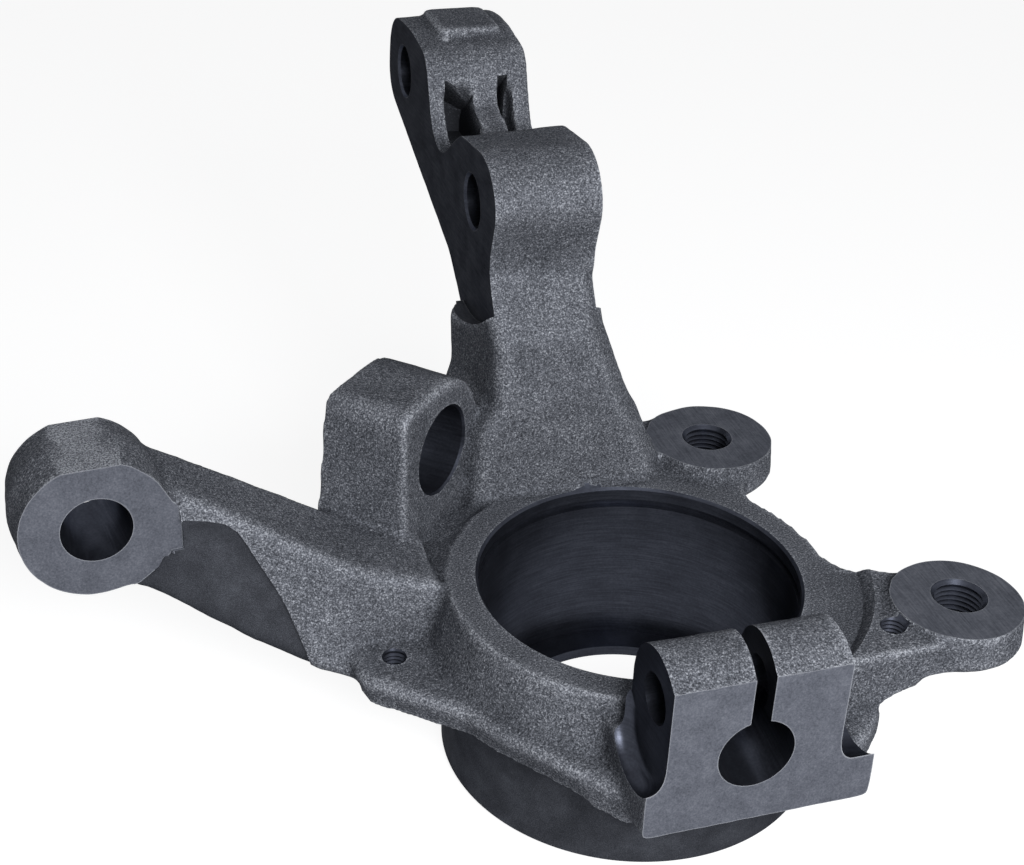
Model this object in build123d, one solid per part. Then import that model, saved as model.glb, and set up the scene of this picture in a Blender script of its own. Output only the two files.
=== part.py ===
from build123d import *
from math import acos, atan2, cos, hypot, radians, sin
import os

os.makedirs("parts", exist_ok=True)

# Steering knuckle, one casting, in millimetres.
# Origin on the bearing bore axis at the inboard rim, Z up along that axis.
# -Y points to the ball-stud clamp, -X to the steering arm, +Y to the strut arm.

# Bearing hub
bore_radius = 36.0
bore_depth = 43.0
bore_chamfer = 0.6
lip_thickness = 2.6
lip_radius = 29.6
clip_groove_depth_below_rim = 3.2
clip_groove_width = 2.1
clip_groove_cut = 1.4
collar_wall = 7.9
collar_chamfer = 1.5
rim_wall = 7.2
rim_round = 2.2
ring_spread = 4.4
ring_height = 12.0
ring_cove = 1.6
facing_radius = 47.3
facing_wall_run = 1.9

# Shield flange under the ring
flange_thickness = 7.2
flange_radius = 50.6
ledge_back_y = 20.0
ledge_front_y = -4.5
ledge_round = 6.0
ledge_corner = 9.0
ledge_past_hole = 9.0
skirt_flare = 8.0
flange_edge_round = 1.5
shield_circle_radius = 56.0
shield_hole_radius = 2.5
shield_hole_angles = (179.5, -37.0)
shield_lug_radius = 8.3
shield_lug_floor = -9.4
hidden_shield_angle = 74.0
hidden_shield_depth = 11.0

# Caliper ears
ear_top = 3.5
ear_disc_radius = 15.2
ear_hole_radius = 5.3
ear_hole_chamfer = 0.9
near_ear_x = 63.3
near_ear_y = -29.0
far_ear_x = 35.9
far_ear_y = 46.8
ear_thickness = 9.5
ear_web_drop = 3.4
near_web_drop = 1.3
ear_web_thickness = 7.0
near_web_thickness = 8.6
far_waist_blend = 12.0
near_waist_blend = 19.0
near_ear_radius = 14.4
near_boss_offset = 1.0
far_boss_offset = 0.9
ear_floor_bevel = 1.8
near_web_front_y = -42.2
ear_flare = 6.0

# Ball-stud clamp
clamp_front_y = -62.3
clamp_left_x = -22.4
clamp_right_x = 26.4
clamp_floor = -15.2
clamp_ear_left = -18.7
clamp_ear_right = 18.3
clamp_ear_radius = 11.0
pinch_y = -54.0
pinch_z = 12.2
pinch_hole_radius = 5.25
stud_z = 1.2
stud_radius = 8.0
stud_depth = 18.5
slot_width = 4.2
spot_radius = 11.5
spot_low_z = 3.2
clamp_turn = -4.5

# Strut arm
strut_left_x = -20.5
strut_thickness = 25.2
near_hole_y = 68.6
near_hole_z = 63.0
far_hole_y = 132.3
far_hole_z = 73.0
strut_hole_radius = 6.3
strut_hole_chamfer = 0.6
strut_face_radius = 28.5
pocket_wall = 4.0
pocket_rib = 7.0
pocket_wide = 6.7
pocket_floor = 7.0
rib_start = 9.5
rib_stand = 1.2
pad_width = 19.0
cast_allowance = 1.6
leg_round = 3.5
leg_bevel = 4.5
leg_back_flare = 4.0
right_skin = 1.0
blade_draft = 2.0
blade_edge_bevel = 1.1
far_seat_radius = 12.5
boss_front = 19.1
boss_crown = 15.8
far_crown = 12.9
pad_stand = 2.0
far_back = 16.8
leg_foot_z = -14.2

# Steering arm
eye_x = -115.0
eye_z = 20.5
eye_front_y = 16.6
eye_length = 20.4
eye_radius = 15.9
eye_crown = 0.9
eye_flat = 15.2
eye_bore_radius = 7.5
eye_taper_ratio = 10.0
eye_turn = 5.0
arm_round = 3.0
crease_round = 1.2
relief_depth = 1.0
relief_end_x = -74.5
arm_wall_tilt = 1.0

# Speed sensor boss
sensor_angle = 135.5
sensor_face_radius = 50.5
sensor_depth = 20.8
sensor_z = 17.0
sensor_half_width = 16.9
sensor_bore_radius = 10.4
sensor_chamfer = 1.2
sensor_corner = 4.5
sensor_foot_spread = 6.3

# Derived
hub_length = bore_depth + lip_thickness
collar_radius = bore_radius + collar_wall
rim_radius = bore_radius + rim_wall
ring_foot_radius = rim_radius + ring_spread
flange_top = -ring_height
flange_floor = flange_top - flange_thickness
strut_right_x = strut_left_x + strut_thickness
strut_mid_x = strut_left_x + strut_thickness / 2
rib_left_x = strut_left_x + pocket_wall + pocket_wide
near_boss_x = near_ear_x - near_boss_offset
ledge_reach = shield_circle_radius + ledge_past_hole
near_boss_y = near_ear_y - near_boss_offset
far_boss_x = far_ear_x + far_boss_offset


def outline_yz(points, x_start, x_length):
    """Solid with a closed YZ outline, running along X from x_start."""
    flat = Plane(origin=(x_start, 0, 0), x_dir=(0, 1, 0), z_dir=(1, 0, 0))
    return extrude(flat * make_face(Polyline(*points, close=True)), x_length)


def cylinder_x(y, z, radius, x_start, x_end):
    axis = Plane(origin=((x_start + x_end) / 2, y, z), z_dir=(1, 0, 0))
    return axis * Cylinder(radius, abs(x_end - x_start))


def upright(x, y, radius, z_low, z_high):
    return Pos(x, y, (z_low + z_high) / 2) * Cylinder(radius, z_high - z_low)


def hub_ring():
    """Revolved outer body: collar, shield flange, and the coned ring with its cove."""
    inside = bore_radius - 8
    cove_floor = flange_top - flange_thickness / 2
    outline = make_face(
        Polyline(
            (inside, -hub_length),
            (collar_radius, -hub_length),
            (collar_radius, cove_floor),
            (ring_foot_radius + ring_cove, cove_floor),
            (ring_foot_radius + ring_cove, flange_top),
            (ring_foot_radius, flange_top),
            (rim_radius + 0.7, -rim_round),
            (rim_radius, 0),
            (inside, 0),
            close=True,
        )
    )
    foot = outline.vertices().sort_by_distance((ring_foot_radius, flange_top))[0]
    outline = fillet(foot, ring_cove)
    rim = outline.vertices().sort_by_distance((rim_radius, 0))[0]
    outline = fillet(rim, rim_round * 0.7)
    heel = outline.vertices().sort_by_distance((collar_radius, -hub_length))[0]
    outline = chamfer(heel, collar_chamfer)
    return revolve(Plane.XZ * outline, Axis.Z)


def flange():
    """Ledge beside the steering arm and skirt toward the clamp, with the edge rounded."""
    ledge = make_face(
        Polyline(
            (0, ledge_back_y),
            (-ledge_reach, ledge_back_y),
            (-ledge_reach, ledge_front_y),
            (-ledge_reach + ledge_corner, ledge_front_y - ledge_corner + 1),
            (-flange_radius * 0.91, -flange_radius * 0.42),
            (0, -flange_radius * 0.5),
            close=True,
        )
    )
    ledge = fillet(ledge.vertices().sort_by(Axis.X)[0:3], ledge_round)
    skirt_y = clamp_front_y + skirt_flare
    skirt = make_face(
        Polyline(
            (-flange_radius * 0.82, -flange_radius * 0.57),
            (clamp_left_x, skirt_y),
            (clamp_right_x, skirt_y),
            (clamp_right_x + skirt_flare * 0.85, near_web_front_y - skirt_flare * 0.9),
            (clamp_right_x + skirt_flare * 1.7, near_web_front_y),
            (flange_radius * 0.8, -flange_radius * 0.6),
            close=True,
        )
    )
    plan = Circle(flange_radius) + ledge + skirt
    plate = extrude(Plane.XY.offset(flange_floor) * plan, flange_thickness)
    rims = plate.edges().group_by(Axis.Z)[-1]
    return fillet(rims, flange_edge_round)


def neck(ear_x, ear_y, ear_radius, root_radius, blend):
    """Plan shape joining an ear circle to the ring with hollow blends each side."""
    span = hypot(ear_x, ear_y)
    heading = atan2(ear_y, ear_x)
    side_a = root_radius + blend
    side_b = ear_radius + blend
    turn = acos((side_a**2 + span**2 - side_b**2) / (2 * side_a * span))
    shape = Circle(root_radius) + Pos(ear_x, ear_y) * Circle(ear_radius)
    for way in (-1, 1):
        fx = side_a * cos(heading + way * turn)
        fy = side_a * sin(heading + way * turn)
        wedge = make_face(Polyline((0, 0), (ear_x, ear_y), (fx, fy), close=True))
        shape = shape + (wedge - Pos(fx, fy) * Circle(blend))
    return shape


def rim_facing():
    """Milling over the rim, its outer wall sloping up to the webs."""
    rise = 8
    return Pos(0, 0, rise / 2) * Cone(facing_radius, facing_radius + facing_wall_run * rise, rise)


def ear(ear_x, ear_y, disc_radius, web_drop, blend):
    """Caliper ear: a boss widening below its machined disc, on a web to the ring."""
    web_top = ear_top - web_drop
    plan = neck(ear_x, ear_y, disc_radius - 1.5, rim_radius, blend)
    web = extrude(Plane.XY.offset(web_top - ear_web_thickness) * plan, ear_web_thickness)
    foot = Plane.XY.offset(ear_top) * Pos(ear_x, ear_y) * Circle(disc_radius)
    boss = extrude(foot, -ear_thickness, taper=-ear_flare)
    boss = chamfer(boss.edges().sort_by(Axis.Z)[0], ear_floor_bevel)
    return web - rim_facing() + boss


def far_ear_web():
    """Low web from the strut leg to the far ear."""
    top = ear_top - 0.8
    plan = make_face(
        Polyline(
            (strut_right_x + 6, far_ear_y - 6),
            (far_ear_x, far_ear_y),
            (far_ear_x - 3, far_ear_y + ear_disc_radius * 0.95),
            (strut_right_x + 6, far_ear_y + ear_disc_radius * 0.8),
            close=True,
        )
    )
    web = extrude(Plane.XY.offset(top - ear_web_thickness) * plan, ear_web_thickness)
    return web - rim_facing()


def near_ear_web():
    """Thick web from the clamp side of the ring to the near ear."""
    top = ear_top - near_web_drop
    plan = make_face(
        Polyline(
            (clamp_ear_right, -30),
            (clamp_ear_right, near_web_front_y),
            (near_boss_x - near_ear_radius * 0.5, near_web_front_y),
            (near_boss_x, near_boss_y - near_ear_radius * 0.93),
            (near_boss_x, near_boss_y),
            (44, -16),
            close=True,
        )
    )
    web = extrude(Plane.XY.offset(top - near_web_thickness) * plan, near_web_thickness)
    return web - rim_facing()


def near_web_foot():
    """Front wall of the near web, its lower edge rising from the skirt past the shield hole."""
    hole_x = shield_circle_radius * cos(radians(shield_hole_angles[1]))
    top = ear_top - near_web_drop - 1
    outline = make_face(
        Polyline(
            (clamp_ear_right, top),
            (clamp_ear_right, flange_top - 1),
            (hole_x - 7.5, flange_top - 1),
            (hole_x - 0.3, shield_lug_floor + 0.4),
            (hole_x + 4.6, top + 1 - near_web_thickness),
            (hole_x + 12, top + 1 - near_web_thickness),
            (hole_x + 12, top),
            close=True,
        )
    )
    front = Plane(origin=(0, near_web_front_y, 0), x_dir=(1, 0, 0), z_dir=(0, -1, 0))
    return extrude(front * outline, -shield_lug_radius)


def shield_lugs():
    """Lugs under the two open shield holes, and the one behind the strut arm."""
    lugs = []
    for angle, top in ((shield_hole_angles[1], ear_top - near_web_drop), (hidden_shield_angle, -1)):
        x = shield_circle_radius * cos(radians(angle))
        y = shield_circle_radius * sin(radians(angle))
        lugs.append(upright(x, y, shield_lug_radius, shield_lug_floor, top))
    return lugs[0] + lugs[1] - rim_facing()


def clamp():
    """Split clamp for the ball stud: broad base, round ears above."""
    base_back = -bore_radius - 3
    base = outline_yz(
        [
            (clamp_front_y, clamp_floor),
            (base_back, flange_floor + 1),
            (base_back, flange_top + 8),
            (clamp_front_y, stud_z + 2),
        ],
        clamp_left_x,
        clamp_right_x - clamp_left_x,
    )
    ears = cylinder_x(pinch_y, pinch_z - 0.4, clamp_ear_radius, clamp_ear_left, clamp_ear_right)
    front = outline_yz(
        [
            (clamp_front_y, clamp_floor + 2),
            (pinch_y + clamp_ear_radius, clamp_floor + 2),
            (pinch_y + clamp_ear_radius, pinch_z),
            (pinch_y + 3, pinch_z + clamp_ear_radius * 0.5),
            (clamp_front_y, pinch_z + clamp_ear_radius * 0.5),
        ],
        clamp_ear_left,
        clamp_ear_right - clamp_ear_left,
    )
    face = Plane(origin=(0, clamp_front_y, 0), z_dir=(0, 1, 0))
    return split(base + ears + front, bisect_by=face, keep=Keep.TOP)


def clamp_cuts():
    """Stud bore, slot above it, pinch bolt hole and the two milled seats."""
    turned = Pos(0, clamp_front_y, 0) * Rot(0, 0, clamp_turn)
    stud_axis = Plane(origin=(0, stud_depth / 2 - 1, stud_z), z_dir=(0, 1, 0))
    stud = stud_axis * Cylinder(stud_radius, stud_depth + 2)
    slot_top = pinch_z + clamp_ear_radius + 6
    slot = Pos(0, 12, (stud_z + slot_top) / 2) * Box(slot_width, 40, slot_top - stud_z)
    cuts = turned * (stud + slot)
    cuts += cylinder_x(pinch_y, pinch_z, pinch_hole_radius, clamp_left_x - 20, clamp_right_x + 20)
    for near_x, far_x in ((clamp_ear_left, clamp_left_x - 12), (clamp_ear_right, clamp_right_x + 6)):
        seat = cylinder_x(pinch_y, spot_low_z, spot_radius, near_x, far_x)
        seat += Pos((near_x + far_x) / 2, pinch_y, spot_low_z + 15) * Box(
            abs(far_x - near_x), 2 * spot_radius, 30
        )
        cuts += seat
    return cuts


def rounded_outline(corners):
    """Closed face through (u, v, radius) corners, each rounded by its own radius."""
    face = make_face(Polyline(*[(u, v) for u, v, r in corners], close=True))
    for u, v, r in corners:
        if r > 0:
            face = fillet(face.vertices().sort_by_distance((u, v))[0], r)
    return face


def strut_blade():
    """Side shape of the strut arm: two bosses joined by a saddle."""
    ny, nz = near_hole_y, near_hole_z
    fy, fz = far_hole_y, far_hole_z
    side = rounded_outline(
        [
            (ny - boss_front + 0.8, nz - 12, 0),
            (ny - boss_front, nz + boss_crown, 12),
            (ny + 10.5, nz + boss_crown - 3.4, 11),
            (fy - 31, fz - 13, 9),
            (fy - 21, fz + far_crown - 2, 7),
            (fy - 8, fz + far_crown, 0),
            (fy + far_back - 2.5, fz + far_crown - 1, 11),
            (fy + far_back, fz - 9, 9),
            (ny + 18, nz - 20.8, 20),
            (ny + 6.5, nz - 30, 0),
        ]
    )
    flat = Plane(origin=(strut_left_x, 0, 0), x_dir=(0, 1, 0), z_dir=(1, 0, 0))
    blade = extrude(flat * side, strut_thickness + right_skin, taper=-blade_draft)
    return chamfer(blade.faces().sort_by(Axis.X)[-1].edges(), blade_edge_bevel)


def leg_section(z, left_flare, right_flare, y_front, y_back):
    """One level of the leg: rounded corners, a bevel at the front right, wider at the back left."""
    left = strut_left_x - cast_allowance
    right = strut_right_x + cast_allowance + right_flare
    plan = make_face(
        Polyline(
            (left - left_flare, y_front),
            (right - leg_bevel, y_front),
            (right, y_front + leg_bevel),
            (right, y_back),
            (left - leg_back_flare - left_flare * 0.4, y_back),
            close=True,
        )
    )
    return Plane.XY.offset(z) * fillet(plan.vertices(), leg_round)


def strut_leg():
    """Cast lower leg, flaring down into the ring."""
    near_y = near_hole_y
    sections = [
        leg_section(leg_foot_z, 6, 17.3, near_y - 36, near_y - 4.5),
        leg_section(1, 5.2, 15.4, near_y - 30.6, near_y - 2.5),
        leg_section(16.5, 3.6, 9.0, near_y - 28.7, near_y + 0.5),
        leg_section(22.5, -1.2, 5.8, near_y - 28, near_y + 1.8),
        leg_section(38, -1.0, 0.5, near_y - 24.8, near_y + 4.5),
        leg_section(51, -0.8, 0.6, near_y - 19.1, near_y + 8.5),
    ]
    return loft(sections, ruled=True)


def strut_cuts():
    """Through holes, milled sides, the far bolt seat, and the pockets between the bosses."""
    reach = 40
    cuts = cylinder_x(near_hole_y, near_hole_z, strut_hole_radius, strut_left_x - 5, strut_right_x + 5)
    cuts += cylinder_x(far_hole_y, far_hole_z, strut_hole_radius, strut_left_x - 5, strut_right_x + 5)
    cuts += cylinder_x(near_hole_y, near_hole_z, strut_face_radius, strut_left_x, strut_left_x - reach / 4)
    cuts += cylinder_x(near_hole_y, near_hole_z, strut_face_radius, strut_right_x, strut_right_x + reach / 4)
    cuts += cylinder_x(far_hole_y, far_hole_z, far_seat_radius, strut_right_x, strut_right_x + reach / 4)
    for y, z in ((near_hole_y, near_hole_z), (far_hole_y, far_hole_z)):
        for x, way in ((strut_left_x, 1), (strut_right_x, -1)):
            place = Plane(origin=(x, y, z), z_dir=(way, 0, 0))
            flare = strut_hole_radius + strut_hole_chamfer
            cuts += place * Pos(0, 0, flare / 2) * Cone(flare, 0.01, flare)
    ny, nz = near_hole_y, near_hole_z
    fy, fz = far_hole_y, far_hole_z
    floor = [
        (ny + 14, nz + 24),
        (ny + 14, nz + 2),
        (ny + 20, nz - 19 + pocket_floor),
        (fy - 26, fz - 21.8 + pocket_floor),
        (fy - 20.5, fz - 6),
        (fy - 21.5, fz + 0.5),
        (fy - 30, fz + 12),
    ]
    narrow = rib_left_x + pocket_rib
    cuts += outline_yz(floor, strut_left_x + pocket_wall, pocket_wide)
    cuts += outline_yz(floor, narrow, strut_right_x - pocket_wall - narrow)
    return cuts


def strut_pad():
    """Low flat pad on the crown of the far boss."""
    top = Plane.XY.offset(far_hole_z + far_crown + pad_stand)
    plan = Pos(strut_mid_x + 1.2, far_hole_y - 4.5) * Rectangle(pad_width - 4.5, pad_width - 2)
    return extrude(top * plan, -4, taper=-20)


def strut_rib():
    """Middle rib between the bosses, a little below the side walls at the far end."""
    ny, nz = near_hole_y, near_hole_z
    fy, fz = far_hole_y, far_hole_z
    crest = [
        (ny + rib_start, nz - 18),
        (ny + rib_start, nz + 11),
        (ny + 26, nz + 4.4 + rib_stand),
        (fy - 28, fz - 1.8),
        (fy - 20, fz + 2.4),
        (fy - 12, fz + 2.4),
        (fy - 12, fz - 14),
    ]
    return outline_yz(crest, rib_left_x, pocket_rib)


def arm_section(x, ridge_y, back_y, foot_y, top, floor, crease_y, crease_z):
    """Five-sided section of the steering arm at one x."""
    corners = [
        (ridge_y, top),
        (back_y, top + arm_wall_tilt),
        (back_y - arm_wall_tilt, floor + 2),
        (foot_y, floor),
        (crease_y, crease_z),
    ]
    rounds = [arm_round, arm_round, arm_round, arm_round, crease_round]
    face = rounded_outline([(y, z, r) for (y, z), r in zip(corners, rounds)])
    return Plane(origin=(x, 0, 0), x_dir=(0, 1, 0), z_dir=(1, 0, 0)) * face


def steering_arm():
    """Five-sided arm, dropping from the eye to the ring."""
    mid_y = eye_front_y + eye_length - 1.5
    sections = [
        arm_section(eye_x + 4, 19.5, mid_y, 18, eye_z + 12.3, eye_z - 16, 17.4, 22),
        arm_section(eye_x + 14, 19.8, mid_y + 0.5, 15.5, eye_z + 6.9, eye_z - 22, 17.0, 19.8),
        arm_section(-87, 16.8, mid_y, 8.2, 19.4, -9.5, 14.8, 12),
        arm_section(-74, 13.6, mid_y - 1.5, 2.8, 12.2, -16, 7.2, -5),
        arm_section(-64, 11, mid_y - 2.5, -0.5, 6.6, flange_floor - 1, 5.6, -10),
        arm_section(-59.4, 10, mid_y - 3, 4.6, 4.4, flange_floor, 6.4, -8.6),
        arm_section(-44, 7.5, 30, 4.6, 0.5, flange_floor, 6.4, -3.4),
    ]
    return loft(sections, ruled=True)


def arm_relief(arm):
    """Shallow clearance on the front of the arm beside the eye, ending at a slanted step."""
    back = Plane(origin=(0, eye_front_y + 8, 0), x_dir=(1, 0, 0), z_dir=(0, -1, 0))
    outline = Polyline(
        (eye_x + 8, eye_z - 0.5),
        (relief_end_x - 15, eye_z - 3.1),
        (relief_end_x - 9.7, 11.1),
        (relief_end_x - 4.2, 2.9),
        (relief_end_x, -8),
        (relief_end_x + 2.5, flange_floor),
        (eye_x + 8, flange_floor),
        close=True,
    )
    front = extrude(back * make_face(outline), 40)
    return front - Pos(0, relief_depth, 0) * arm


def eye_plane(depth):
    """Plane across the eye axis, at a depth behind its front face."""
    way = radians(eye_turn)
    origin = (eye_x - depth * sin(way), eye_front_y + depth * cos(way), eye_z)
    return Plane(origin=origin, z_dir=(-sin(way), cos(way), 0))


def steering_eye():
    """Boss for the tie-rod stud, slightly crowned at the middle and flat on top."""
    profile = Polyline(
        (0, 0),
        (eye_radius, 0),
        (eye_radius + eye_crown, eye_length * 0.5),
        (eye_radius - 0.4, eye_length),
        (0, eye_length),
        close=True,
    )
    ring = eye_plane(0) * revolve(make_face(Plane.XZ * profile), Axis.Z)
    top = Plane.XY.offset(eye_z + eye_flat)
    return split(ring, bisect_by=top, keep=Keep.BOTTOM)


def eye_cut():
    slim = eye_bore_radius - eye_length / eye_taper_ratio / 2
    taper = Cone(eye_bore_radius, slim, eye_length)
    mouth = Cylinder(eye_bore_radius, 2)
    tail = Cylinder(slim, 2)
    tool = taper + Pos(0, 0, -eye_length / 2 - 0.99) * mouth + Pos(0, 0, eye_length / 2 + 0.99) * tail
    return eye_plane(eye_length / 2) * tool


def sensor_plane(radius):
    """Upright plane facing the hub axis at the sensor, at a distance from that axis."""
    way = radians(sensor_angle)
    return Plane(
        origin=(radius * cos(way), radius * sin(way), 0),
        x_dir=(-sin(way), cos(way), 0),
        z_dir=(cos(way), sin(way), 0),
    )


def sensor_outline(spread):
    """Front shape of the sensor boss: one square shoulder and one round one."""
    half = sensor_half_width
    top = sensor_z + half
    foot = flange_floor + 2
    lean = spread * (top - foot) / (top + 8)
    outline = make_face(
        [
            Line((half + lean, foot), (half, top)),
            Line((half, top), (0, top)),
            RadiusArc((0, top), (-half, sensor_z), -half),
            Line((-half, sensor_z), (-half, foot)),
            Line((-half, foot), (half + lean, foot)),
        ]
    )
    shoulder = outline.vertices().sort_by_distance((half, top))[0]
    return fillet(shoulder, sensor_corner)


def sensor_boss():
    """Upright boss, its foot spreading toward the steering arm at the back."""
    near = sensor_plane(sensor_face_radius) * sensor_outline(0)
    far = sensor_plane(sensor_face_radius + sensor_depth) * sensor_outline(sensor_foot_spread)
    return loft([near, far], ruled=True)


def sensor_cut():
    depth = sensor_depth + 4
    tool = Cylinder(sensor_bore_radius, depth)
    flare = sensor_bore_radius + sensor_chamfer
    tool += Pos(0, 0, -depth / 2 + 2 + flare / 2) * Cone(flare, 0.01, flare)
    middle = sensor_plane(sensor_face_radius + sensor_depth / 2)
    return middle * Pos(0, sensor_z, 0) * tool


def hub_cuts():
    """Bearing seat, through lip and clip groove."""
    seat = upright(0, 0, bore_radius, -bore_depth, 60)
    seat += upright(0, 0, lip_radius, -hub_length - 5, 0)
    groove_top = -clip_groove_depth_below_rim
    seat += upright(0, 0, bore_radius + clip_groove_cut, groove_top - clip_groove_width, groove_top)
    rim = bore_radius + bore_chamfer
    seat += Pos(0, 0, -rim / 2) * Cone(0.01, rim, rim)
    return seat


def drill_holes():
    """Caliper ear holes with broken edges, and the shield screw holes."""
    cuts = []
    for x, y in ((near_ear_x, near_ear_y), (far_ear_x, far_ear_y)):
        cuts.append(upright(x, y, ear_hole_radius, -40, ear_top + 30))
        flare = ear_hole_radius + ear_hole_chamfer
        cuts.append(Pos(x, y, ear_top - flare / 2) * Cone(0.01, flare, flare))
    for angle in shield_hole_angles:
        x = shield_circle_radius * cos(radians(angle))
        y = shield_circle_radius * sin(radians(angle))
        cuts.append(upright(x, y, shield_hole_radius, flange_floor - 2, ear_top))
    x = shield_circle_radius * cos(radians(hidden_shield_angle))
    y = shield_circle_radius * sin(radians(hidden_shield_angle))
    start = flange_floor - 2
    cuts.append(upright(x, y, shield_hole_radius, start, leg_foot_z + hidden_shield_depth))
    return cuts


def knuckle():
    body = hub_ring() + flange()
    body += ear(near_boss_x, near_boss_y, near_ear_radius, near_web_drop, near_waist_blend)
    body += ear(far_boss_x, far_ear_y, ear_disc_radius, ear_web_drop, far_waist_blend)
    body += near_ear_web()
    body += near_web_foot()
    body += far_ear_web()
    body += shield_lugs()
    arm = steering_arm()
    body += arm - arm_relief(arm)
    body += steering_eye()
    body += sensor_boss()
    body += strut_leg()
    body += strut_blade()
    body += strut_pad()
    body += clamp()
    body -= strut_cuts()
    body += strut_rib()
    body -= clamp_cuts()
    body -= hub_cuts()
    body -= eye_cut()
    body -= sensor_cut()
    for hole in drill_holes():
        body -= hole
    return body


part = knuckle()
part.label = "knuckle"
export_step(part, "parts/knuckle.step")
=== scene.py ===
import math
import bmesh
import bpy
import numpy as np
from mathutils import Matrix, Vector, noise


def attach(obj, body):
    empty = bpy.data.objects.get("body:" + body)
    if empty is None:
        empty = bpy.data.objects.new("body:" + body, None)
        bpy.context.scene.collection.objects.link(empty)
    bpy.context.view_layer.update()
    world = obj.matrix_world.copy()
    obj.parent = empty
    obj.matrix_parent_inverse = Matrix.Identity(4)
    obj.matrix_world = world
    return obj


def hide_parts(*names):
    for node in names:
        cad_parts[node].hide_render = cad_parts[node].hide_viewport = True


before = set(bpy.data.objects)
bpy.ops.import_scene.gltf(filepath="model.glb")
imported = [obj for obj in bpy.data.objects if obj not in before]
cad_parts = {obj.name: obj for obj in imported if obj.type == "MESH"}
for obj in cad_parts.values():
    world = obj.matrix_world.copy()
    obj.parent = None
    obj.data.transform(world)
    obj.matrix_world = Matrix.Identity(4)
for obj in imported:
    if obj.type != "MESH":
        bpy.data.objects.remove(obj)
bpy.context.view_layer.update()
MM = 0.001
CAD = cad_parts["knuckle"]
CENTRE, UP, ACROSS = (0, 0, 0), (0, 0, 1), (1, 0, 0)

# Sizes of the machined features, in millimetres, as in the solid.
BORE_R, BORE_DEPTH, BORE_BREAK = 36.0, 43.0, 0.6
HUB_LENGTH, LIP_R = 45.6, 29.6
COLLAR_R, COLLAR_TOP = 43.4, -20.6
GROOVE_LOW, GROOVE_HIGH, GROOVE_R = -5.3, -3.2, 37.4
FACING_R = 47.3
EAR_TOP, EAR_DISC = 3.5, 1.3
EAR_HOLES = ((63.3, -29.0), (35.9, 46.8))
EAR_BOSSES = ((62.3, -30.0, 14.4), (36.8, 46.8, 15.2))
EAR_HOLE_R, EAR_CHAMFER = 5.3, 0.9
EAR_THREAD, EAR_THREAD_R = 1.25, 5.95
CLAMP_Y, CLAMP_TURN = -62.3, -4.5
CLAMP_LEFT, CLAMP_RIGHT, CLAMP_EAR_R = -18.7, 18.3, 11.0
CLAMP_BASE_LEFT, CLAMP_BASE_RIGHT = -22.4, 26.4
PINCH_Y, PINCH_Z, PINCH_R = -54.0, 12.2, 5.25
STUD_Z, STUD_R, STUD_DEPTH, SLOT = 1.2, 8.0, 18.5, 4.2
SEAT_Z, SEAT_R, SEAT_CORNER = 3.2, 11.5, 3.4
STRUT_LEFT, STRUT_RIGHT = -20.5, 4.7
NEAR_HOLE, FAR_HOLE = (68.6, 63.0), (132.3, 73.0)
STRUT_HOLE_R, STRUT_CHAMFER = 6.3, 0.6
STRUT_FACE_R, FAR_SEAT_R = 28.5, 12.5
EYE, EYE_TURN = (-115.0, 16.6, 20.5), 5.0
EYE_LENGTH, EYE_BORE, EYE_TAPER = 20.4, 7.5, 6.8
EYE_FACE_R, EYE_BACK_R, EYE_CROWN = 17.2, 20, 14.7
SENSOR_ANGLE, SENSOR_Z, SENSOR_FACE, SENSOR_DEPTH = 135.5, 17.0, 50.5, 20.8
SENSOR_R, SENSOR_CHAMFER = 10.4, 0.5
SHIELD_R, SHIELD_HOLE_R = 56.0, 2.5
SHIELD_THREAD, SHIELD_THREAD_R = 1.0, 2.95
SHIELD_HOLES = ((179.5, -19.2, -12.0, True), (-37.0, -9.4, 2.2, True), (74.0, -14.2, -3.2, False))

# The clearance ground into the arm beside the eye: (x, z) corners and its depth.
RELIEF = ((-97.5, 19.8), (-93, 18.9), (-88.7, 17.6), (-86.2, 15.6), (-84.4, 12.4), (-82.4, 8.4), (-79.2, 2.4),
          (-77.4, -1.6), (-74.5, -10.5), (-72.3, -19), (-72, -24), (-110, -24), (-110, 4.2), (-107, 5.6),
          (-104, 7.8), (-101.4, 11.2), (-99.6, 12.2), (-97.5, 12.2))
RELIEF_DEPTH = 0.9

# The pad on the far boss: its middle, its corner radius, and (half width, half length, height) rows.
PAD_X, PAD_BEFORE_HOLE, PAD_CORNER = -6.7, 4.5, 2
PAD_ROWS = ((9.6, 10.6, 10.6), (8.0, 9.1, 14.2), (7.6, 8.7, 14.65), (7.0, 8.1, 14.85))

# The raw casting: stock over milled faces, how far it is rooted, and the extra radius of plugs in holes.
STOCK, SIDE_STOCK, ROOT, PLUG = 2.5, 2.0, 1.5, 1.5
MERGE = 2e-6
CLAMP_STOCK = 1.5

# The cast skin: size of its mesh, rounds of smoothing, how much of each hollow is filled, each edge
# shaved and each point slid along the skin, (length, height) of its waves, the depth of the hollow
# under the near boss and of the flange's undercut, and where the rim is laid level.
VOXEL, QUICK_VOXEL = 1.0, 1.6
ROUNDS, QUICK_ROUNDS = 6, 3
FILL, SHAVE, SLIDE = 0.35, 0.2, 0.4
WAVES = ((7.0, 0.16), (2.6, 0.09))
HOLLOW, UNDERCUT = 2.8, 1.3
RIM_R, RIM_SLACK = 43.0, 0.3
SHARP_ANGLE = 32

# The camera, solved from the circles in the photograph, and its lens in the photograph's pixels.
CAMERA_AT, CAMERA_TURN = (-127.79, -283.59, 220.16), (59.176, -2.171, -17.47)
FOCAL_LENGTH, PHOTO_WIDTH = 1700, 1024


def vec(x, y, z):
    return Vector((x, y, z)) * MM


def new_object(name, mesh):
    piece = bpy.data.objects.new(name, mesh)
    bpy.context.scene.collection.objects.link(piece)
    return piece


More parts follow.
